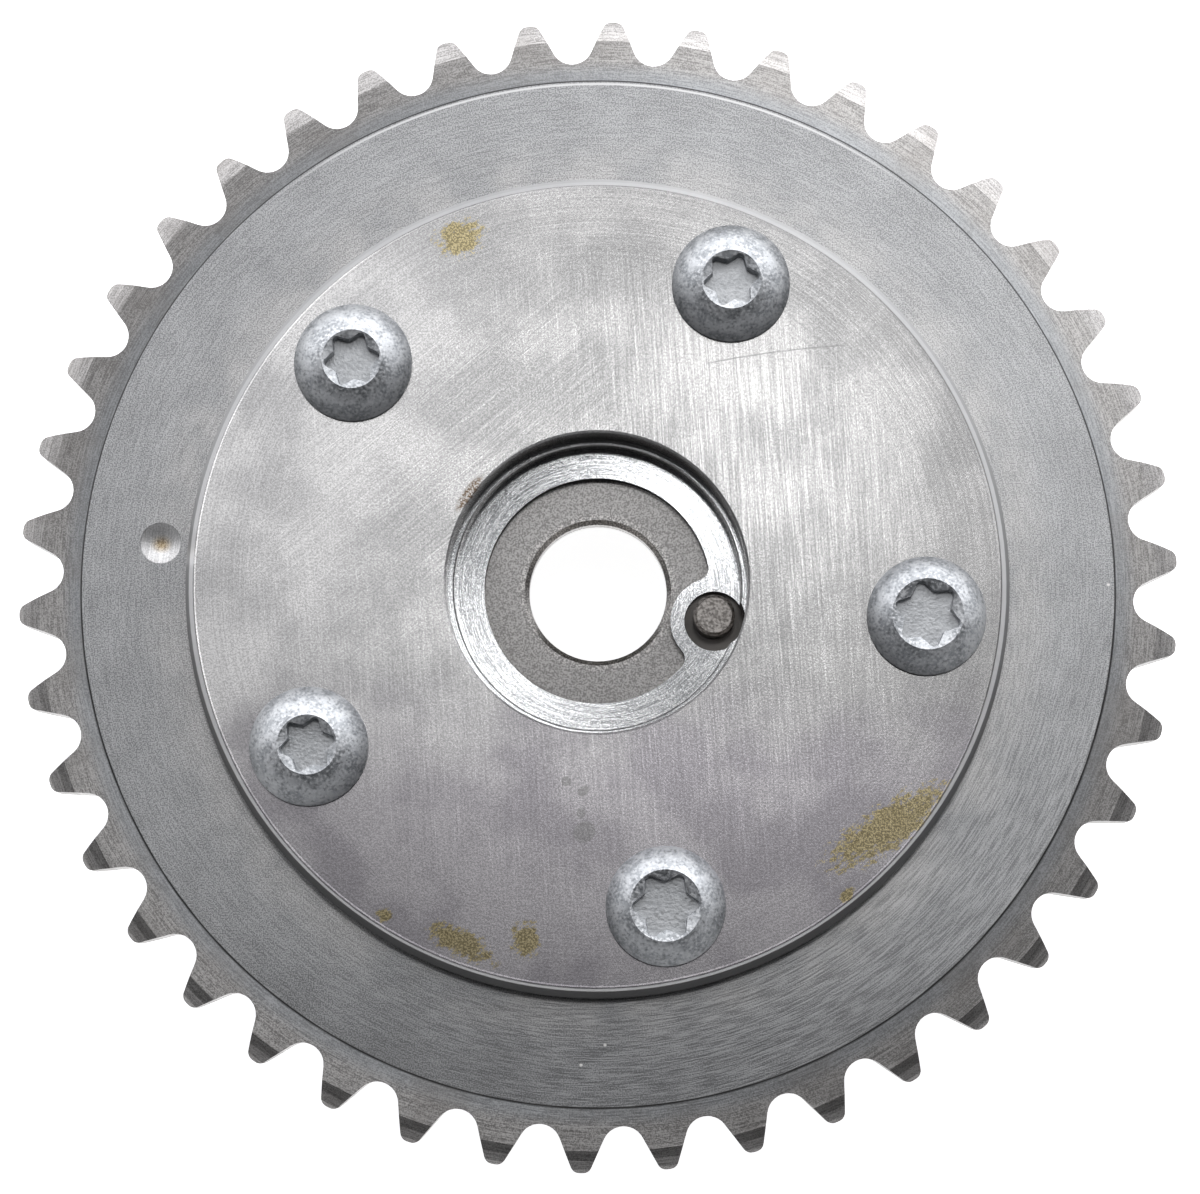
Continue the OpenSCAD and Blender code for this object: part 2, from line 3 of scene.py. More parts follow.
import bpy
from mathutils import Euler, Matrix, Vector


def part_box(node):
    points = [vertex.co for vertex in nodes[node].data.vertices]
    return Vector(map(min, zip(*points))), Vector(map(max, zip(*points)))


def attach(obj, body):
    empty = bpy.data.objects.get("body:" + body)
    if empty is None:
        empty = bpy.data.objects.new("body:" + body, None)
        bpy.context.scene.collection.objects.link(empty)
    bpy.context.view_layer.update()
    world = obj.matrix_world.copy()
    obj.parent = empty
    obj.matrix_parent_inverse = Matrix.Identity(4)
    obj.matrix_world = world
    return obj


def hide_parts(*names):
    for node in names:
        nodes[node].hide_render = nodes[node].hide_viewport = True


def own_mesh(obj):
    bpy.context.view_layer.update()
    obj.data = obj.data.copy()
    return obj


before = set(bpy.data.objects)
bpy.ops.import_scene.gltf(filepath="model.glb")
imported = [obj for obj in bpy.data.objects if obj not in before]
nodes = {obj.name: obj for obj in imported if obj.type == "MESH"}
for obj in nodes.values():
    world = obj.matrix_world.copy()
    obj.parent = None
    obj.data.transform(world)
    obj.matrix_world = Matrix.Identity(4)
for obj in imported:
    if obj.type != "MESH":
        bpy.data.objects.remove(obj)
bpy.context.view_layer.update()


# Front cover: the plate on the far side that closes the oil chambers and takes the screws' threads.
# It is steel, ground flat on a rotary table, which leaves fine arcs all over its face.
def add(tree, kind, inputs=None, **settings):
    """One shader node, with its settings, and its inputs set to values or joined to other outputs."""
    made = tree.nodes.new("ShaderNode" + kind)
    for name, value in settings.items():
        setattr(made, name, value)
    for name, value in (inputs or {}).items():
        if isinstance(value, bpy.types.NodeSocket):
            tree.links.new(value, made.inputs[name])
        else:
            made.inputs[name].default_value = value
    return made


def new_finish(name, **shader_values):
    """A finish whose shader has the given constants. Returns the finish, its node tree and its shader."""
    finish = bpy.data.materials.new(name)
    finish.use_nodes = True
    shader = finish.node_tree.nodes["Principled BSDF"]
    for key, value in shader_values.items():
        shader.inputs[key.replace("_", " ")].default_value = value
    return finish, finish.node_tree, shader


def millimetres(tree):
    """The place on the part, in millimetres."""
    place = add(tree, "TexCoord").outputs["Object"]
    return add(tree, "VectorMath", {0: place, "Scale": 1000.0}, operation="SCALE").outputs[0]


def grain(tree, place, size, turn=0.0, detail=1.0, shift=0.0):
    """Noise whose grains have the given length, width and height, their length turned from +X by turn."""
    spread = add(tree, "Mapping", {
        "Vector": place,
        "Location": (shift, shift, shift),
        "Rotation": (0.0, 0.0, radians(turn)),
        "Scale": size,
    }, vector_type="TEXTURE")
    return add(tree, "TexNoise", {"Vector": spread.outputs[0], "Scale": 1.0, "Detail": detail}).outputs[0]


def step(tree, value, low, high, from_value=0.0, to_value=1.0):
    """A smooth step from from_value, below low, to to_value, above high."""
    ranged = add(tree, "MapRange", {
        "Value": value,
        "From Min": low,
        "From Max": high,
        "To Min": from_value,
        "To Max": to_value,
    }, interpolation_type="SMOOTHSTEP")
    return ranged.outputs[0]


def sums(tree, operation, first, second):
    """The sum, product or another operation of two values."""
    return add(tree, "Math", {0: first, 1: second}, operation=operation).outputs[0]


def between(tree, share, first, second):
    """A value that goes from first to second as share goes from nought to one."""
    return add(tree, "Mix", {0: share, 2: first, 3: second}, data_type="FLOAT").outputs[0]


def blend(tree, share, first, second, way="MIX"):
    """A colour that goes from first to second, or to their product, as share goes from nought to one."""
    made = add(tree, "Mix", data_type="RGBA", blend_type=way)
    for socket, value in ((0, share), (6, first), (7, second)):
        if isinstance(value, bpy.types.NodeSocket):
            tree.links.new(value, made.inputs[socket])
        else:
            made.inputs[socket].default_value = value
    return made.outputs[2]


def grey(level, warm=0.0):
    """A grey of the given level, warmer above nought and bluer below it."""
    return (level * (1.0 + warm), level, level * (1.0 - warm), 1.0)


def radius_of(tree, place):
    """Distance from the part's axis."""
    flat = add(tree, "VectorMath", {0: place, 1: (1.0, 1.0, 0.0)}, operation="MULTIPLY").outputs[0]
    return add(tree, "VectorMath", {0: flat}, operation="LENGTH").outputs["Value"]


def ring_place(tree, place):
    """The place with x exchanged for the radius, on which long grains become rings round the axis."""
    axes = add(tree, "SeparateXYZ", {0: place}).outputs
    return add(tree, "CombineXYZ", {0: axes[0], 1: radius_of(tree, place), 2: axes[1]}).outputs[0]


def across_the_rings(tree, place):
    """The direction straight out from the axis, in which a turned face spreads its gloss."""
    flat = add(tree, "VectorMath", {0: place, 1: (1.0, 1.0, 0.0)}, operation="MULTIPLY").outputs[0]
    turned = add(tree, "VectorTransform", {0: flat}, vector_type="VECTOR", convert_from="OBJECT",
                 convert_to="WORLD").outputs[0]
    return add(tree, "VectorMath", {0: turned}, operation="NORMALIZE").outputs[0]


def dent(tree, shader, height, depth):
    """Gives the shader a bumpy surface: height from nought to one, over the given depth in millimetres."""
    bump = add(tree, "Bump", {"Height": height, "Strength": 1.0, "Distance": depth / 1000.0})
    tree.links.new(bump.outputs[0], shader.inputs["Normal"])


def dress(finish, names):
    """Gives the named CAD nodes one finish."""
    for name in names:
        nodes[name].data.materials.clear()
        nodes[name].data.materials.append(finish)


def far_plate_finish():
    finish, tree, shader = new_finish("far_plate", Metallic=1.0, Anisotropic=0.5)
    place = millimetres(tree)
    arcs = grain(tree, ring_place(tree, place), (30.0, 0.16, 30.0), detail=3.0)
    cloud = grain(tree, place, (9.0, 9.0, 9.0), detail=4.0)
    tone = blend(tree, step(tree, cloud, 0.3, 0.7), grey(0.44, -0.01), grey(0.56))
    tree.links.new(blend(tree, step(tree, arcs, 0.55, 0.75), tone, grey(0.36)), shader.inputs["Base Color"])
    tree.links.new(step(tree, arcs, 0.3, 0.7, 0.28, 0.4), shader.inputs["Roughness"])
    tree.links.new(across_the_rings(tree, place), shader.inputs["Tangent"])
    dent(tree, shader, arcs, 0.01)
    return finish


dress(far_plate_finish(), ["front_cover"])


# Lock bush: a small hard ring pressed into the front cover, which takes the lock pin's tip.
# It is hardened steel, ground inside and out.
def hard_steel_finish(name, tone):
    finish, tree, shader = new_finish(name, Metallic=1.0)
    place = millimetres(tree)
    lines = grain(tree, place, (4.0, 4.0, 0.08), detail=3.0)
    cloud = grain(tree, place, (1.5, 1.5, 1.5))
    base = blend(tree, step(tree, cloud, 0.3, 0.7), grey(tone), grey(tone * 1.25))
    tree.links.new(base, shader.inputs["Base Color"])
    tree.links.new(step(tree, lines, 0.3, 0.7, 0.2, 0.34), shader.inputs["Roughness"])
    dent(tree, shader, lines, 0.004)
    return finish


hard_steel = hard_steel_finish("hard_steel", 0.46)
dress(hard_steel, ["lock_bush"])


# Sprocket housing: barrel, lobes, flange and chain teeth in one piece of sintered steel.
# Only the annulus round the cover is faced after sintering; the teeth keep the press's grainy skin.
annulus_r = 49.576
tip_taper_r = 53.8
annulus_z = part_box("sprocket_housing")[1].z * 1000.0
cover_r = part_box("cam_side_cover")[1].x * 1000.0
dimple_r = 42.3
dimple_turn = radians(174.2)
dimple_place = (dimple_r * cos(dimple_turn), dimple_r * sin(dimple_turn))
dimple_reach = (2.4, 2.4)
rust_reach = (1.3, 1.1)
face_pits = ((0.72, -43.76), (-1.55, -45.65), (49.05, 0.13))
pit_reach = (0.2, 0.17)
brushed_middle = (22.0, -34.0)
brushed_reach = (58.0, 42.0)


def spot(tree, place, centre, reach, turn=0.0, soft=0.4):
    """One inside an oval of the given half length and half width about the centre, nought outside."""
    spread = add(tree, "Mapping", {
        "Vector": place,
        "Location": (centre[0], centre[1], 0.0),
        "Rotation": (0.0, 0.0, radians(turn)),
        "Scale": (reach[0], reach[1], 1000.0),
    }, vector_type="TEXTURE").outputs[0]
    away = add(tree, "VectorMath", {0: spread}, operation="LENGTH").outputs["Value"]
    return step(tree, away, soft, 1.0, 1.0, 0.0)


def widest(tree, place, ovals, soft):
    """The greatest of the spots of several ovals, each with its centre, reach and turn."""
    most = None
    for centre, reach, turn in ovals:
        one = spot(tree, place, centre, reach, turn, soft)
        most = sums(tree, "MAXIMUM", most, one) if most else one
    return most


def sinter_finish():
    finish, tree, shader = new_finish("sintered_housing", Metallic=1.0, Anisotropic=0.3)
    place = millimetres(tree)
    radius = radius_of(tree, place)
    axes = add(tree, "SeparateXYZ", {0: place}).outputs
    height = axes[2]
    faced = sums(tree, "MULTIPLY", step(tree, radius, annulus_r, annulus_r + 0.1, 1.0, 0.0),
                 step(tree, height, annulus_z - 0.2, annulus_z - 0.05))
    powder = grain(tree, place, (0.13, 0.13, 0.13))
    cloud = grain(tree, place, (5.0, 5.0, 5.0), detail=3.0)
    arcs = grain(tree, ring_place(tree, place), (2.4, 0.1, 2.4))

    # Skin of the teeth: brownish grey, bluer next to the annulus,
    # and painted light makes it brighter at the upper right and lower left and darker at the other two
    grains = step(tree, between(tree, 0.45, powder, arcs), 0.36, 0.64)
    skin = blend(tree, grains, grey(0.22, 0.03), grey(0.48, 0.025))
    blue_band = step(tree, radius, annulus_r + 0.6, annulus_r + 2.4, 0.75, 0.0)
    skin = blend(tree, blue_band, skin, blend(tree, grains, grey(0.27, -0.04), grey(0.40, -0.04)))
    skin = blend(tree, step(tree, cloud, 0.45, 0.7, 0.0, 0.3), skin, grey(0.24, 0.06))
    # Painted light: the skin is brightened at the upper right and lower left and darkened at the upper left
    # and lower right, less on the tapers
    painted_light_diagonal = sums(tree, "DIVIDE", sums(tree, "MULTIPLY", axes[0], axes[1]),
                    sums(tree, "MULTIPLY", radius, radius))
    flat = step(tree, radius, tip_taper_r - 0.4, tip_taper_r, 1.0, 0.3)
    skin = blend(tree, flat, skin, step(tree, painted_light_diagonal, -0.5, 0.5, 0.74, 1.24), "MULTIPLY")
    # Painted shade: a dark line along the foot of the annulus's step
    painted_corner_shade = sums(tree, "MULTIPLY", step(tree, radius, annulus_r - 0.08, annulus_r),
                  step(tree, radius, annulus_r + 0.16, annulus_r + 0.26, 1.0, 0.0))
    skin = blend(tree, painted_corner_shade, skin, grey(0.06, 0.02))

    # Faced annulus: fine grains all round, brushed lines towards the lower right,
    # warmer next to the cover, with painted shade darkening it towards the bottom and a painted highlight
    # along its upper edge
    brushed = spot(tree, place, brushed_middle, brushed_reach, soft=0.2)
    texture = between(tree, between(tree, brushed, 0.25, 0.6), powder, arcs)
    face = blend(tree, step(tree, texture, 0.39, 0.61), grey(0.25, -0.014), grey(0.49, -0.010))
    warm = step(tree, radius, cover_r + 1.0, cover_r + 6.0, 0.7, 0.0)
    face = blend(tree, sums(tree, "MULTIPLY", warm, step(tree, cloud, 0.3, 0.6)), face,
                 blend(tree, step(tree, texture, 0.39, 0.61), grey(0.30, 0.012), grey(0.54, 0.012)))
    face = blend(tree, 1.0, face, step(tree, cloud, 0.3, 0.7, 0.94, 1.06), "MULTIPLY")
    # Painted light: darker towards the bottom, a little lighter above the middle and slightly darker again
    # at the top
    painted_light_by_height = sums(tree, "SUBTRACT", step(tree, axes[1], -47.0, -27.0, 0.80, 1.12),
                    step(tree, axes[1], 16.0, 42.0, 0.0, 0.14))
    face = blend(tree, 1.0, face, painted_light_by_height, "MULTIPLY")
    # Painted highlight: a thin bright line just inside the annulus's outer edge, at its top only
    painted_edge_highlight = sums(tree, "MULTIPLY", step(tree, radius, annulus_r - 0.34, annulus_r - 0.26),
                     step(tree, radius, annulus_r - 0.14, annulus_r - 0.06, 1.0, 0.0))
    painted_edge_highlight = sums(tree, "MULTIPLY", painted_edge_highlight, step(tree, axes[1], 36.0, 46.0))
    face = blend(tree, painted_edge_highlight, face, grey(0.66))
    pits = widest(tree, place, [(pit, pit_reach, 0.0) for pit in face_pits], 0.5)
    face = blend(tree, pits, face, grey(0.85, 0.02))
    dimple = sums(tree, "MULTIPLY", spot(tree, place, dimple_place, dimple_reach, soft=0.9),
                  step(tree, height, annulus_z - 0.1, annulus_z - 0.02, 1.0, 0.0))
    rust = spot(tree, place, dimple_place, rust_reach, soft=0.1)
    rust_tone = blend(tree, grains, (0.24, 0.16, 0.08, 1.0), (0.72, 0.62, 0.45, 1.0))
    pressed = blend(tree, rust, blend(tree, grains, grey(0.55), grey(0.80)), rust_tone)
    colour = blend(tree, dimple, blend(tree, faced, skin, face), pressed)
    tree.links.new(colour, shader.inputs["Base Color"])
    rough = between(tree, dimple, step(tree, texture, 0.3, 0.7, 0.29, 0.37), 0.62)
    rough = between(tree, step(tree, radius, tip_taper_r - 0.4, tip_taper_r), rough, 0.37)
    tree.links.new(rough, shader.inputs["Roughness"])
    tree.links.new(across_the_rings(tree, place), shader.inputs["Tangent"])
    dent(tree, shader, texture, 0.011)
    return finish


dress(sinter_finish(), ["sprocket_housing"])


# Seals: moulded strips of black polymer that wipe the hub and the chambers' walls.
# Five lie loose in slots of the lobes and five in slots of the vanes.
# A bowed leaf spring behind each one presses it out.
def polymer_finish():
    finish, tree, shader = new_finish("seal_polymer", Metallic=0.0)
    place = millimetres(tree)
    fibres = grain(tree, place, (0.3, 0.3, 3.0), detail=3.0)
    tree.links.new(blend(tree, fibres, grey(0.012), grey(0.03, 0.05)), shader.inputs["Base Color"])
    tree.links.new(step(tree, fibres, 0.3, 0.7, 0.35, 0.55), shader.inputs["Roughness"])
    dent(tree, shader, fibres, 0.01)
    return finish


def spring_finish():
    finish, tree, shader = new_finish("spring_steel", Metallic=1.0)
    place = millimetres(tree)
    lines = grain(tree, place, (0.1, 0.1, 6.0), detail=3.0)
    base = blend(tree, step(tree, lines, 0.3, 0.7), grey(0.3, -0.04), grey(0.44, 0.03))
    tree.links.new(base, shader.inputs["Base Color"])
    tree.links.new(step(tree, lines, 0.3, 0.7, 0.22, 0.36), shader.inputs["Roughness"])
    return finish


sectors = 5
seal_polymer = polymer_finish()
spring_steel = spring_finish()
for kind in ("lobe", "vane"):
    dress(seal_polymer, [f"{kind}_seal_{k + 1}" for k in range(sectors)])
    dress(spring_steel, [f"{kind}_seal_spring_{k + 1}" for k in range(sectors)])


# Rotor: hub and five vanes of sintered steel, bored for the valve and counterbored for the camshaft.
# The clamping ledge is turned bright; the sunken oil groove inside it keeps the sintered skin.
ledge_depth = 3.24
groove_depth = 1.6
rotor_top_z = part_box("rotor")[1].z * 1000.0
ledge_z = rotor_top_z - ledge_depth
groove_z = ledge_z - groove_depth
hole_edge_r = 7.15


def rotor_finish():
    finish, tree, shader = new_finish("sintered_rotor", Metallic=1.0, Anisotropic=0.9)
    place = millimetres(tree)
    radius = radius_of(tree, place)
    height = add(tree, "SeparateXYZ", {0: place}).outputs[2]
    turned = step(tree, height, ledge_z - 0.06, ledge_z - 0.02)
    powder = grain(tree, place, (0.15, 0.15, 0.15))
    arcs = grain(tree, ring_place(tree, place), (3.0, 0.1, 3.0), detail=2.0)
    grains = step(tree, powder, 0.37, 0.63)

    # Sintered floor of the groove, with bright grains along the edge of the bolt hole
    skin = blend(tree, grains, grey(0.28, 0.03), grey(0.54, 0.02))
    rim = step(tree, radius, hole_edge_r, hole_edge_r + 0.9, 1.0, 0.0)
    sparks = sums(tree, "MULTIPLY", rim, step(tree, powder, 0.52, 0.62))
    skin = blend(tree, sparks, skin, grey(0.75, 0.03))

    # Upright walls, darker, darkest in the groove
    groove_wall = sums(tree, "MULTIPLY", step(tree, height, groove_z + 0.03, groove_z + 0.08),
                       step(tree, height, ledge_z - 0.08, ledge_z - 0.03, 1.0, 0.0))
    nose_wall = sums(tree, "MULTIPLY", step(tree, height, ledge_z + 0.05, ledge_z + 0.15),
                     step(tree, height, rotor_top_z - 0.2, rotor_top_z - 0.1, 1.0, 0.0))

    lines = between(tree, 0.5, powder, arcs)
    bright = blend(tree, step(tree, lines, 0.38, 0.62), grey(0.28, -0.03), grey(0.60, -0.01))
    colour = blend(tree, groove_wall, blend(tree, turned, skin, bright), grey(0.13, 0.05))
    colour = blend(tree, nose_wall, colour, grey(0.42, 0.05))
    tree.links.new(colour, shader.inputs["Base Color"])
    tree.links.new(between(tree, turned, 0.38, 0.19), shader.inputs["Roughness"])
    aside = add(tree, "Mix", {0: turned, 4: (1.0, 0.0, 0.0), 5: across_the_rings(tree, place)},
                data_type="VECTOR").outputs[1]
    tree.links.new(aside, shader.inputs["Tangent"])
    dent(tree, shader, between(tree, turned, powder, arcs), 0.006)
    return finish


dress(rotor_finish(), ["rotor"])


# Locating pin, lock pin and spring seat: small turned pieces of hardened steel.
# The locating pin stands in a pocket of the rotor's ledge and keeps a dark, grainy skin.
# The lock pin is ground to slide in its vane, below its seat.
def pin_finish():
    finish, tree, shader = new_finish("pin_steel", Metallic=1.0)
    place = millimetres(tree)
    powder = grain(tree, place, (0.25, 0.25, 0.25), detail=2.0)
    base = blend(tree, step(tree, powder, 0.35, 0.65), grey(0.15, 0.07), grey(0.40, 0.06))
    tree.links.new(base, shader.inputs["Base Color"])
    tree.links.new(step(tree, powder, 0.3, 0.7, 0.35, 0.5), shader.inputs["Roughness"])
    dent(tree, shader, powder, 0.03)
    return finish


dress(pin_finish(), ["cam_locating_pin"])
dress(hard_steel, ["lock_pin", "lock_spring_seat"])


# Lock spring: a coil of round spring wire inside the hollow lock pin, held between the pin and its seat.
# Its faces are joined into one skin, and the copy rides with the rotor in place of the original.
weld_gap = 1e-7
crease_angle = radians(40.0)


def lock_coil():
    coil = bpy.data.objects.new("lock_coil", nodes["lock_spring"].data.copy())
    bpy.context.scene.collection.objects.link(coil)
    bpy.ops.object.select_all(action="DESELECT")
    coil.select_set(True)
    bpy.context.view_layer.objects.active = coil
    bpy.ops.object.mode_set(mode="EDIT")
    bpy.ops.mesh.select_all(action="SELECT")
    bpy.ops.mesh.customdata_custom_splitnormals_clear()
    bpy.ops.mesh.remove_doubles(threshold=weld_gap)
    bpy.ops.object.mode_set(mode="OBJECT")
    bpy.ops.object.shade_smooth_by_angle(angle=crease_angle)
    return coil


dress(spring_steel, ["lock_spring"])
coil = lock_coil()
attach(coil, "rotor")
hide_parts("lock_spring")
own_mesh(coil)


# Cam-side cover: the steel plate that shows, held by the five screws and bored for the camshaft's journal.
# It is ground bright, and handling has scratched, rubbed and stained it.
# Its rim's bevel is rubbed and painted with a highlight in its upper part, with painted shade below that is
# darkest at the bottom; its upper left is rubbed slantwise, and its lower half has a duller, mauve grey
# tone.
cover_top_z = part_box("cam_side_cover")[1].z * 1000.0
bore_wall_z = cover_top_z - 0.1
bore_wall_r = 14.55
gold_stains = (
    ((-13.2, 33.3), (3.8, 2.8), 20.0),
    ((27.4, -23.4), (10.5, 3.3), 33.0),
    ((23.6, -29.7), (0.9, 1.3), -30.0),
    ((-12.8, -34.2), (5.4, 2.0), -28.0),
    ((-6.7, -33.9), (2.1, 2.8), 0.0),
    ((-20.0, -31.6), (1.2, 1.0), 0.0),
)
nick_place = (-12.2, 8.5)
nick_reach = (2.6, 0.7)
nick_turn = 55.0
rings_from_r = 27.0
rings_only_r = 36.0
upright_turn = 94.0
slant_middle = (-17.0, 14.0)
slant_reach = (27.0, 24.0)
slant_turn = 40.0
scratch_middle = (17.0, 22.1)
scratch_reach = (7.6, 3.0)
scratch_r = 102.4
scratch_centre = (30.5, -79.4, cover_top_z)
dried_drops = (
    ((-1.2, -23.8), (1.7, 1.5), 30.0),
    ((-2.9, -19.0), (0.7, 0.7), 0.0),
    ((-1.3, -19.9), (0.9, 0.6), 40.0),
    ((-1.5, -22.0), (0.6, 0.8), 0.0),
)


def near_plate_finish():
    finish, tree, shader = new_finish("near_plate", Metallic=1.0, Anisotropic=0.3)
    place = millimetres(tree)
    radius = radius_of(tree, place)
    axes = add(tree, "SeparateXYZ", {0: place}).outputs
    rings = grain(tree, ring_place(tree, place), (13.0, 0.11, 13.0))
    slants = grain(tree, place, (11.0, 0.11, 11.0), turn=slant_turn, shift=5.0)
    uprights = grain(tree, place, (5.0, 0.11, 5.0), turn=upright_turn, shift=9.0)
    cloud = grain(tree, place, (8.0, 8.0, 8.0), detail=3.0)
    speck = grain(tree, place, (0.17, 0.17, 0.17), shift=3.0)

    # Which way the fine lines run
    slant_share = spot(tree, place, slant_middle, slant_reach, slant_turn, soft=0.3)
    ring_share = step(tree, radius, rings_from_r, rings_only_r)
    lines = between(tree, ring_share, between(tree, slant_share, uprights, slants), rings)

    # Tone of the steel, with painted light that brightens its left and dims its right, its duller mauve
    # lower half and its dried drops
    tone = blend(tree, step(tree, cloud, 0.35, 0.65), grey(0.30, 0.004), grey(0.40, 0.008))
    # Painted light: the steel's tone is raised up to nearly twice at the left and lowered a little at the
    # right
    tone = blend(tree, 1.0, tone, step(tree, axes[0], -40.0, 8.0, 1.9, 0.88), "MULTIPLY")
    edge = sums(tree, "ADD", axes[1], sums(tree, "MULTIPLY", cloud, 14.0))
    dull = step(tree, edge, -14.0, 0.0, 0.9, 0.0)
    tone = blend(tree, dull, tone, blend(tree, step(tree, cloud, 0.4, 0.6), (0.36, 0.343, 0.365, 1.0),
                                         (0.46, 0.443, 0.46, 1.0)))
    drops = step(tree, sums(tree, "ADD", widest(tree, place, dried_drops, 0.1),
                            sums(tree, "MULTIPLY", cloud, 0.6)), 0.58, 0.64, 0.0, 0.6)
    tone = blend(tree, drops, tone, grey(0.26, 0.01))
    scratches = sums(tree, "MAXIMUM", step(tree, slants, 0.66, 0.74), step(tree, uprights, 0.68, 0.76))
    texture = sums(tree, "ADD", step(tree, lines, 0.3, 0.7, 0.87, 1.08),
                   sums(tree, "MULTIPLY", scratches, 0.2))
    texture = sums(tree, "ADD", texture, step(tree, speck, 0.32, 0.68, -0.16, 0.20))
    tone = blend(tree, 1.0, tone, texture, "MULTIPLY")

    # Yellow stains of old oil, in specks
    ragged = grain(tree, place, (0.9, 0.5, 0.9), turn=38.0, detail=3.0, shift=2.0)
    uneven = sums(tree, "ADD", sums(tree, "MULTIPLY", ragged, 1.6), sums(tree, "MULTIPLY", speck, 0.9))
    soaked = widest(tree, place, gold_stains, 0.0)
    stain = step(tree, sums(tree, "ADD", soaked, uneven), 1.56, 1.76, 0.0, 0.85)
    stain = sums(tree, "MULTIPLY", stain, step(tree, soaked, 0.02, 0.2))
    stain_tone = blend(tree, step(tree, speck, 0.4, 0.62), (0.20, 0.16, 0.06, 1.0), (0.50, 0.42, 0.22, 1.0))
    tone = blend(tree, stain, tone, stain_tone)

    # One long scratch at the upper right, part of a wide arc
    from_arc = add(tree, "VectorMath", {0: place, 1: scratch_centre}, operation="DISTANCE").outputs["Value"]
    off_arc = sums(tree, "ABSOLUTE", sums(tree, "SUBTRACT", from_arc, scratch_r), 0.0)
    scratch = sums(tree, "MULTIPLY", step(tree, off_arc, 0.04, 0.1, 0.6, 0.0),
                   spot(tree, place, scratch_middle, scratch_reach, soft=0.8))
    tone = blend(tree, scratch, tone, grey(0.14))

    # Rusty nicks at the bore's upper left, then its oily wall
    nicks = sums(tree, "MULTIPLY", spot(tree, place, nick_place, nick_reach, nick_turn, soft=0.5),
                 step(tree, speck, 0.45, 0.55))
    tone = blend(tree, nicks, tone, (0.13, 0.085, 0.05, 1.0))
    wall = sums(tree, "MULTIPLY", step(tree, axes[2], bore_wall_z - 0.2, bore_wall_z - 0.1, 1.0, 0.0),
                step(tree, radius, bore_wall_r, bore_wall_r + 0.1, 1.0, 0.0))
    tone = blend(tree, wall, tone, grey(0.45, 0.04))

    # Bevel round the rim: its upper part rubbed and painted with a highlight, brightest towards the bottom,
    # and its lower part painted shade, darkest at the bottom
    rim = step(tree, radius, cover_r - 0.95, cover_r - 0.8)
    below_face = sums(tree, "SUBTRACT", cover_top_z, axes[2])
    rubbed_and_highlit_depth = step(tree, axes[1], -34.0, -5.0, 0.0, 0.45)
    rubbed_and_highlit = step(tree, sums(tree, "SUBTRACT", below_face, rubbed_and_highlit_depth), 0.7, 0.85, 1.0, 0.0)
    # Painted light on the bevel: the lower part is painted dark at the bottom and lighter towards the top;
    # the upper part is painted bright, most in its lower half
    bevel_wear_and_painted_light = blend(tree, rubbed_and_highlit, step(tree, axes[1], -36.0, 36.0, 0.14, 0.55),
                  step(tree, axes[1], -10.0, 30.0, 0.9, 0.62))
    tone = blend(tree, rim, tone, bevel_wear_and_painted_light)
    tree.links.new(tone, shader.inputs["Base Color"])
    rough = between(tree, rim, step(tree, lines, 0.25, 0.75, 0.255, 0.225), 0.42)
    tree.links.new(rough, shader.inputs["Roughness"])
    tree.links.new(across_the_rings(tree, place), shader.inputs["Tangent"])
    dent(tree, shader, speck, 0.003)
    return finish


dress(near_plate_finish(), ["cam_side_cover"])


# Screws: domed heads with a six-lobe recess, coated in matt zinc flake after they were forged.
# The punch left the recess's floor smooth and raised a rough, brighter lip round its mouth.
# They clamp both covers to the housing, and painted shade darkens their heads towards the edge.
screw_circle_r = 31.45
first_screw = radians(-6.1)
half_sector = radians(180.0 / sectors)
head_top_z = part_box("screw_2")[1].z * 1000.0
recess_depth = 1.6
recess_floor_z = head_top_z - recess_depth
mouth_r = 3.0
lip_r = 3.9
head_r = 5.65


def from_screw_axis(tree, place):
    """Distance from the nearest screw's axis, with the five sectors folded onto one."""
    axes = add(tree, "SeparateXYZ", {0: place}).outputs
    turn = sums(tree, "SUBTRACT", sums(tree, "ARCTAN2", axes[1], axes[0]), first_screw)
    folded = add(tree, "Math", {0: turn, 1: half_sector, 2: -half_sector}, operation="WRAP").outputs[0]
    radius = radius_of(tree, place)
    outward = sums(tree, "MULTIPLY", radius, sums(tree, "COSINE", folded, 0.0))
    across = sums(tree, "MULTIPLY", radius, sums(tree, "SINE", folded, 0.0))
    from_axis = sums(tree, "SUBTRACT", outward, screw_circle_r)
    flat = add(tree, "CombineXYZ", {0: from_axis, 1: across}).outputs[0]
    return add(tree, "VectorMath", {0: flat}, operation="LENGTH").outputs["Value"]


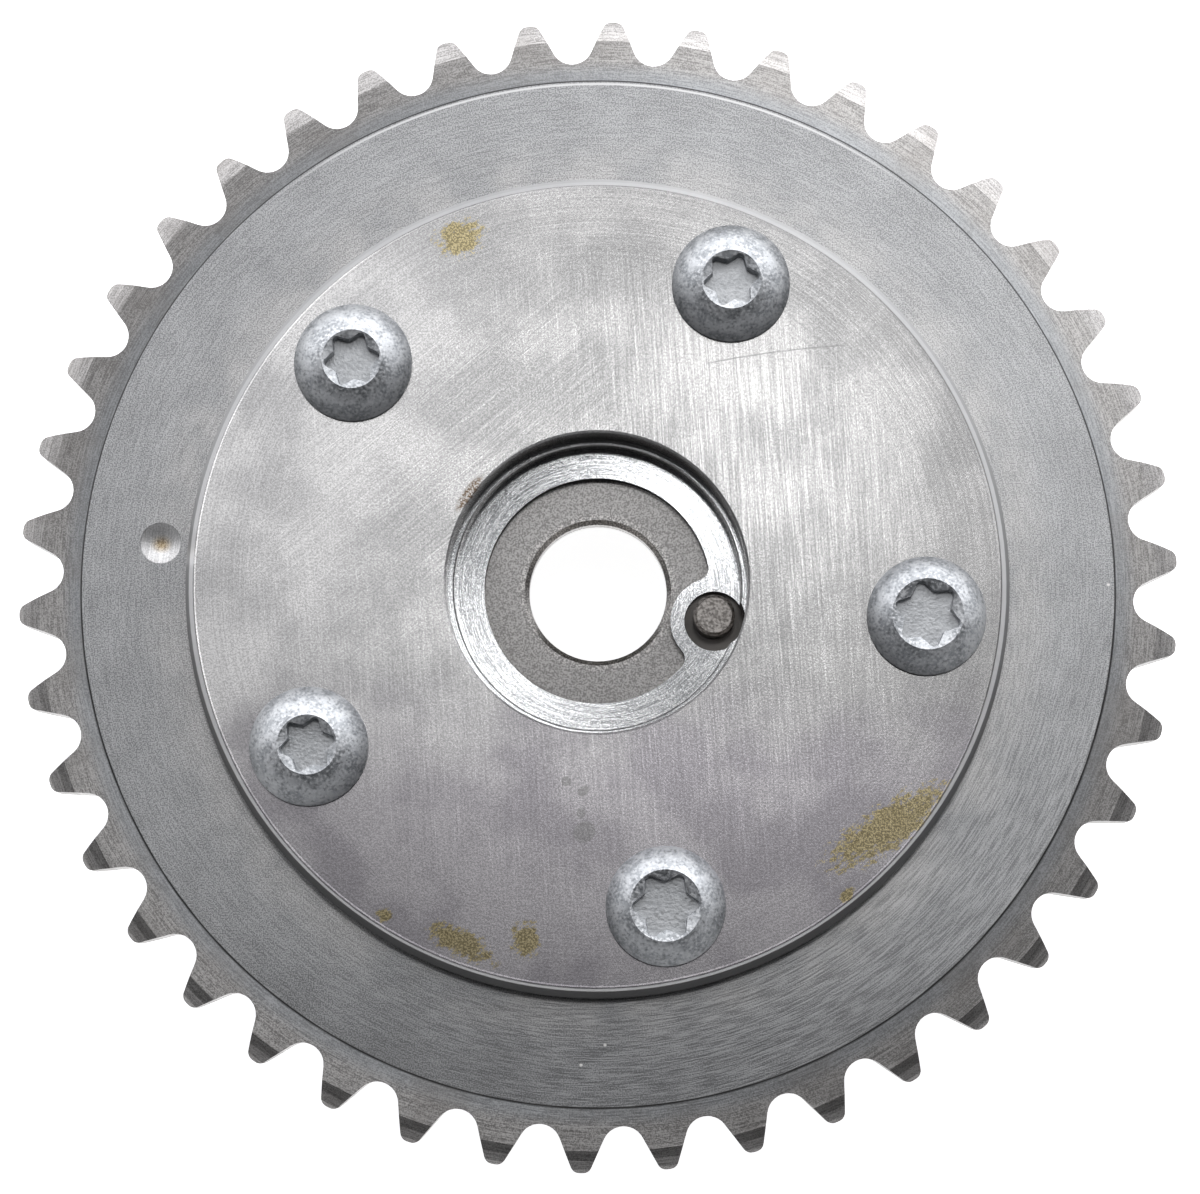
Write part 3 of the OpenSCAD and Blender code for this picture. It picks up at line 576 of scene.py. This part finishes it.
def zinc_flake_finish():
    finish, tree, shader = new_finish("zinc_flake", Metallic=0.94)
    place = millimetres(tree)
    height = add(tree, "SeparateXYZ", {0: place}).outputs[2]
    away = from_screw_axis(tree, place)
    flakes = grain(tree, place, (0.28, 0.28, 0.28), detail=2.0)
    cloud = grain(tree, place, (1.3, 1.3, 1.3), detail=2.0)
    tone = blend(tree, step(tree, cloud, 0.38, 0.62), grey(0.33, -0.045), grey(0.50, -0.03))
    tone = blend(tree, step(tree, flakes, 0.33, 0.43, 0.55, 0.0), tone, grey(0.14, -0.02))
    lip = sums(tree, "MULTIPLY", step(tree, away, mouth_r - 0.3, mouth_r),
               step(tree, away, mouth_r + 0.3, lip_r, 1.0, 0.0))
    shine = sums(tree, "MULTIPLY", step(tree, flakes, 0.5, 0.64), between(tree, lip, 0.6, 1.0))
    tone = blend(tree, shine, tone, grey(0.64, -0.02))
    # Painted shade: each head darkens from its lip out to its edge, as on a lit dome
    tone = blend(tree, 1.0, tone, step(tree, away, lip_r, head_r, 1.08, 0.6), "MULTIPLY")
    recess_floor = sums(tree, "MULTIPLY", step(tree, height, recess_floor_z - 0.2, recess_floor_z, 1.0, 0.0),
                        step(tree, away, mouth_r, mouth_r + 0.4, 1.0, 0.0))
    tone = blend(tree, sums(tree, "MULTIPLY", recess_floor, 0.8), tone, grey(0.56, -0.02))
    tree.links.new(tone, shader.inputs["Base Color"])
    rough = between(tree, recess_floor, step(tree, flakes, 0.3, 0.7, 0.37, 0.49), 0.40)
    tree.links.new(rough, shader.inputs["Roughness"])
    dent(tree, shader, flakes, 0.03)
    return finish


dress(zinc_flake_finish(), [f"screw_{k + 1}" for k in range(sectors)])


# Studio: a pale floor that shows white and keeps the part's shadow, under a plain grey sky.
# The sky is bright behind the part and dark in front of it, as under a photographer's tent.
# A small softbox above draws the glints on the turned ledge, and a large one lights the part from behind.
floor_size = 20.0
floor_drop = 0.0002
floor_glow = 0.92
sky_tint = (0.97, 0.97, 1.0, 1.0)


def set_floor():
    bpy.ops.object.select_all(action="DESELECT")
    bpy.ops.mesh.primitive_plane_add(size=floor_size, location=(0.0, 0.0, -floor_drop))
    floor = bpy.context.object
    floor.name = "floor"
    finish, tree, shader = new_finish("floor", Roughness=0.9)
    shader.inputs["Base Color"].default_value = (0.8, 0.8, 0.8, 1.0)
    path = add(tree, "LightPath").outputs
    seen = sums(tree, "MAXIMUM", path["Is Camera Ray"], path["Is Glossy Ray"])
    seen = sums(tree, "MAXIMUM", seen, path["Is Transmission Ray"])
    shader.inputs["Emission Color"].default_value = (1.0, 1.0, 1.0, 1.0)
    tree.links.new(sums(tree, "MULTIPLY", seen, floor_glow), shader.inputs["Emission Strength"])
    floor.data.materials.append(finish)


def set_sky():
    world = bpy.data.worlds.new("studio")
    bpy.context.scene.world = world
    world.use_nodes = True
    tree = world.node_tree
    way = add(tree, "TexCoord").outputs["Generated"]
    axes = add(tree, "SeparateXYZ", {0: way}).outputs
    aside = sums(tree, "ABSOLUTE", axes[0], 0.0)
    overhead = step(tree, axes[1], -0.02, 0.28, 0.02, 0.76)
    behind = step(tree, axes[1], 0.3, 0.6, 0.0, 0.9)
    sides = sums(tree, "MULTIPLY", step(tree, aside, 0.04, 0.2, 0.0, 0.22), step(tree, axes[1], -0.06, 0.1))
    horizon = step(tree, axes[2], 0.3, 0.85, 0.4, 0.0)
    level = sums(tree, "ADD", sums(tree, "ADD", overhead, behind), sums(tree, "ADD", sides, horizon))
    tree.links.new(level, tree.nodes["Background"].inputs["Strength"])
    tree.nodes["Background"].inputs["Color"].default_value = sky_tint


def set_softbox(name, turn, lean, distance, size, power):
    """A square lamp that looks at the part, leaning from the vertical towards the given turn from +X."""
    lamp = bpy.data.lights.new(name, "AREA")
    lamp.size = size
    lamp.energy = power
    box = bpy.data.objects.new(name, lamp)
    bpy.context.scene.collection.objects.link(box)
    way = Vector((sin(lean) * cos(turn), sin(lean) * sin(turn), cos(lean)))
    box.location = way * distance
    box.rotation_euler = way.to_track_quat("Z", "Y").to_euler()


set_floor()
set_sky()
set_softbox("key_box", turn=radians(78.0), lean=radians(9.2), distance=0.8, size=0.07, power=0.20)
set_softbox("rear_box", turn=radians(70.0), lean=radians(44.0), distance=0.8, size=0.5, power=1.2)


# Camera: almost straight above the part and a little in front of it.
# Its distance and focal length, the latter in pixels of the picture, give the photographed perspective.
view_tilt = Euler((radians(6.5), radians(0.585), 0.0))
view_aim = Vector((0.00025, -0.001003, 0.023))
view_distance = 0.370
picture_width = 1200.0
picture_focal = 3850.5
sensor_width = 36.0
camera = bpy.data.objects.new("camera", bpy.data.cameras.new("camera"))
bpy.context.scene.collection.objects.link(camera)
camera.data.sensor_width = sensor_width
camera.data.lens = picture_focal * sensor_width / picture_width
camera.rotation_euler = view_tilt
camera.location = view_aim + view_tilt.to_matrix() @ Vector((0.0, 0.0, view_distance))
bpy.context.scene.camera = camera
bpy.context.scene.view_settings.view_transform = "Standard"
